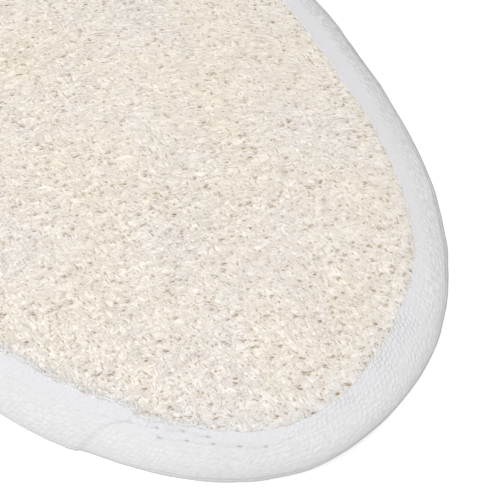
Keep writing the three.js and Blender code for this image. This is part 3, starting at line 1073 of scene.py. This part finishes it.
# Loose cotton fluff on the tape's inner edge, most of it before the lap
fluff = {
    "count": 1000,
    "length": (0.8, 2.2),
    "radius": 0.045,
    "taper": np.array([0.5, 1, 1, 0.5]),
    "band": 0.42,
    "dense": (326, 388),  # walk round the rim
    "rise": (0.1, 0.24),
}


def makeFluff():
    count = fluff["count"]
    walk = random.uniform(0, rimLength, count)
    gathered = np.arange(count) % 2 < 1
    walk[gathered] = random.uniform(*fluff["dense"], gathered.sum())
    x, y, inX, inY = rimAt(walk)
    patch = 0.7 + 0.6 * lineNoise(walk, 4, 71)
    depth = innerEdgeDepth(walk) - 0.1 + np.abs(random.normal(0, fluff["band"], count)) * patch
    angle = np.arctan2(inX, -inY) + random.normal(0, 0.7, count)
    size = random.uniform(*fluff["length"], count)
    parts = np.linspace(-0.5, 0.5, len(fluff["taper"]))
    along = size[:, None] * parts
    across = random.normal(0, 0.35, count)[:, None] * along ** 2
    lineX, lineY = turnLines(x + depth * inX, y + depth * inY, angle, along, across)
    lineDepth, _ = depthInside(lineX.ravel(), lineY.ravel())
    _, tapeTop, _, _ = sectionAt(runOnTop(np.minimum(lineDepth, edge["reach"] + 1)))
    rise = random.uniform(*fluff["rise"], count)[:, None] - 0.16 * (2 * parts) ** 4
    lines = np.stack([lineX, lineY, tapeTop.reshape(lineX.shape) + rise], axis=2)
    thickness = fluff["taper"] * random.uniform(0.7, 1.2, count)[:, None]
    mesh = curvesToMesh("tapeFluff", lines, fluff["radius"], 3, thickness)
    finishPiece(mesh, "tapeFluff", [], fluffMaterial)


makeFluff()
print("loofah done")


# Terry back: a cloth ground with loops of pile

terry = {
    "columns": 230,
    "rows": 170,
    "length": 148,
    "width": 110,
    "ground": 0.55,
    "flatFrom": 11.6,
    "overTape": 1.0,
    "loops": 2600,
    "loopRadius": 0.22,
    "loopGround": 0.62,
    "loopDrop": 0.42,
}


# Heights near the edge are lifted from the flat ground to lie over the tape's lower side
def liftOverTape(depth, ground):
    _, lowerSide, _, _ = sectionAt(runBelow(np.clip(depth, 2, edge["reach"])))
    share = 1 - smoothStep(depth, edge["reach"] - 0.4, terry["flatFrom"])
    return ground + (np.maximum(lowerSide + terry["overTape"], ground) - ground) * share


def makeTerry():
    columns, rows = terry["columns"], terry["rows"]
    mesh, column, row = gridCoords(columns, rows)
    x = (column / columns - 0.5) * terry["length"]
    y = (row / rows - 0.5) * terry["width"]
    depth, _ = depthInside(x, y)
    pile = 0.16 * softNoise(x, y, 1.1, 61) + 0.12 * softNoise(x, y, 0.7, 62)
    setPlaces(mesh, x, y, liftOverTape(depth, terry["ground"] + pile))
    closeSlab(mesh, depth, face["bottom"] - 0.3)
    return finishPiece(mesh, "terryCloth", ["terry_back"], terryMaterial)


def makeTerryLoops():
    x, y = strew(terry["loops"] * 2, 91)
    keep = spread(x, y, edge["reach"] + 0.6) < 1
    x, y = x[keep][:terry["loops"]], y[keep][:terry["loops"]]
    count = len(x)
    angle = random.uniform(0, 2 * math.pi, count)
    parts = np.linspace(-1, 1, 5)
    reach = random.uniform(0.5, 0.8, count)[:, None]
    lean = random.normal(0, 0.25, count)[:, None] * (1 - parts ** 2)
    lineX, lineY = turnLines(x, y, angle, reach * parts, lean)
    depth, _ = depthInside(lineX.ravel(), lineY.ravel())
    ground = liftOverTape(depth.reshape(lineX.shape), terry["loopGround"])
    lineZ = np.maximum(ground - terry["loopDrop"] * (1 - parts ** 2), terry["loopRadius"])
    lines = np.stack([lineX, lineY, lineZ], axis=2)
    mesh = curvesToMesh("terryLoops", lines, terry["loopRadius"], 3)
    finishPiece(mesh, "terryLoops", [], terryMaterial)


terryPiece = makeTerry()
makeTerryLoops()
print("terry done")

# Floor, light and camera

room = {
    "floor": 2.0,
    "floorGlow": 0.5,
    "sky": 0.61,
    "keyPower": 6.45,
    "keyPlace": (-0.5, 0.45, 0.9),  # metres to the picture's right, towards the camera and up
    "fillPower": 2.3,
    "fillPlace": (0.6, -0.35, 0.8),
    "lightSize": 0.35,
}


def makeRoom():
    shape = bmesh.new()
    bmesh.ops.create_grid(shape, x_segments=1, y_segments=1, size=room["floor"])
    bmesh.ops.translate(shape, verts=shape.verts, vec=(0, 0, -0.0002))
    mesh = bpy.data.meshes.new("floor")
    shape.to_mesh(mesh)
    shape.free()
    material, tree, shader = newMaterial("paleFloor", 0.9, 0.1)
    shader.inputs["Base Color"].default_value = (0.8, 0.8, 0.8, 1)
    shader.inputs["Emission Color"].default_value = (1, 1, 1, 1)
    seen = addNode(tree, "ShaderNodeLightPath").outputs["Is Camera Ray"]
    tree.links.new(calc(tree, "MULTIPLY", seen, room["floorGlow"]), shader.inputs["Emission Strength"])
    mesh.materials.append(material)
    floor = addObject("floor", mesh)
    world = bpy.data.worlds.new("studio")
    world.use_nodes = True
    background = world.node_tree.nodes["Background"]
    background.inputs["Color"].default_value = (1, 1, 1, 1)
    background.inputs["Strength"].default_value = room["sky"]
    bpy.context.scene.world = world


def addLight(name, power, place, aim):
    light = bpy.data.lights.new(name, "AREA")
    light.energy = power
    light.size = room["lightSize"]
    lamp = addObject(name, light)
    lamp.location = place
    lamp.rotation_euler = (aim - lamp.location).to_track_quat("-Z", "Y").to_euler()


view = {
    "azimuth": 49.0414,
    "elevation": 60,
    "target": (35.058, 6.026, 5.9),
    "mmPerPixel": 0.180135,
    "angle": 20,
    "halfPixels": 250,
    "sensor": 36,
}


def makeCamera():
    azimuth, elevation = math.radians(view["azimuth"]), math.radians(view["elevation"])
    right = Vector((math.cos(azimuth), math.sin(azimuth), 0))
    near = Vector((math.sin(azimuth), -math.cos(azimuth), 0))
    up = Vector((0, 0, 1))
    back = near * math.cos(elevation) + up * math.sin(elevation)
    target = Vector(view["target"]) * mm
    slope = math.tan(math.radians(view["angle"]) / 2)
    data = bpy.data.cameras.new("camera")
    data.sensor_width = view["sensor"]
    data.lens = view["sensor"] / 2 / slope
    data.clip_start = 0.01
    camera = addObject("camera", data)
    camera.location = target + back * (view["halfPixels"] * view["mmPerPixel"] * mm / slope)
    camera.rotation_euler = back.to_track_quat("Z", "Y").to_euler()
    bpy.context.scene.camera = camera
    for name in ("key", "fill"):
        toRight, toNear, upward = room[name + "Place"]
        addLight(name, room[name + "Power"], target + right * toRight + near * toNear + up * upward, target)


makeRoom()
makeCamera()
bpy.context.scene.view_settings.view_transform = "Standard"

added = sum(len(polygon.vertices) - 2 for piece in bpy.data.objects if piece.type == "MESH"
            and piece.name not in frame["nodes"] for polygon in piece.data.polygons)
print(f"added in all: {added} triangles")
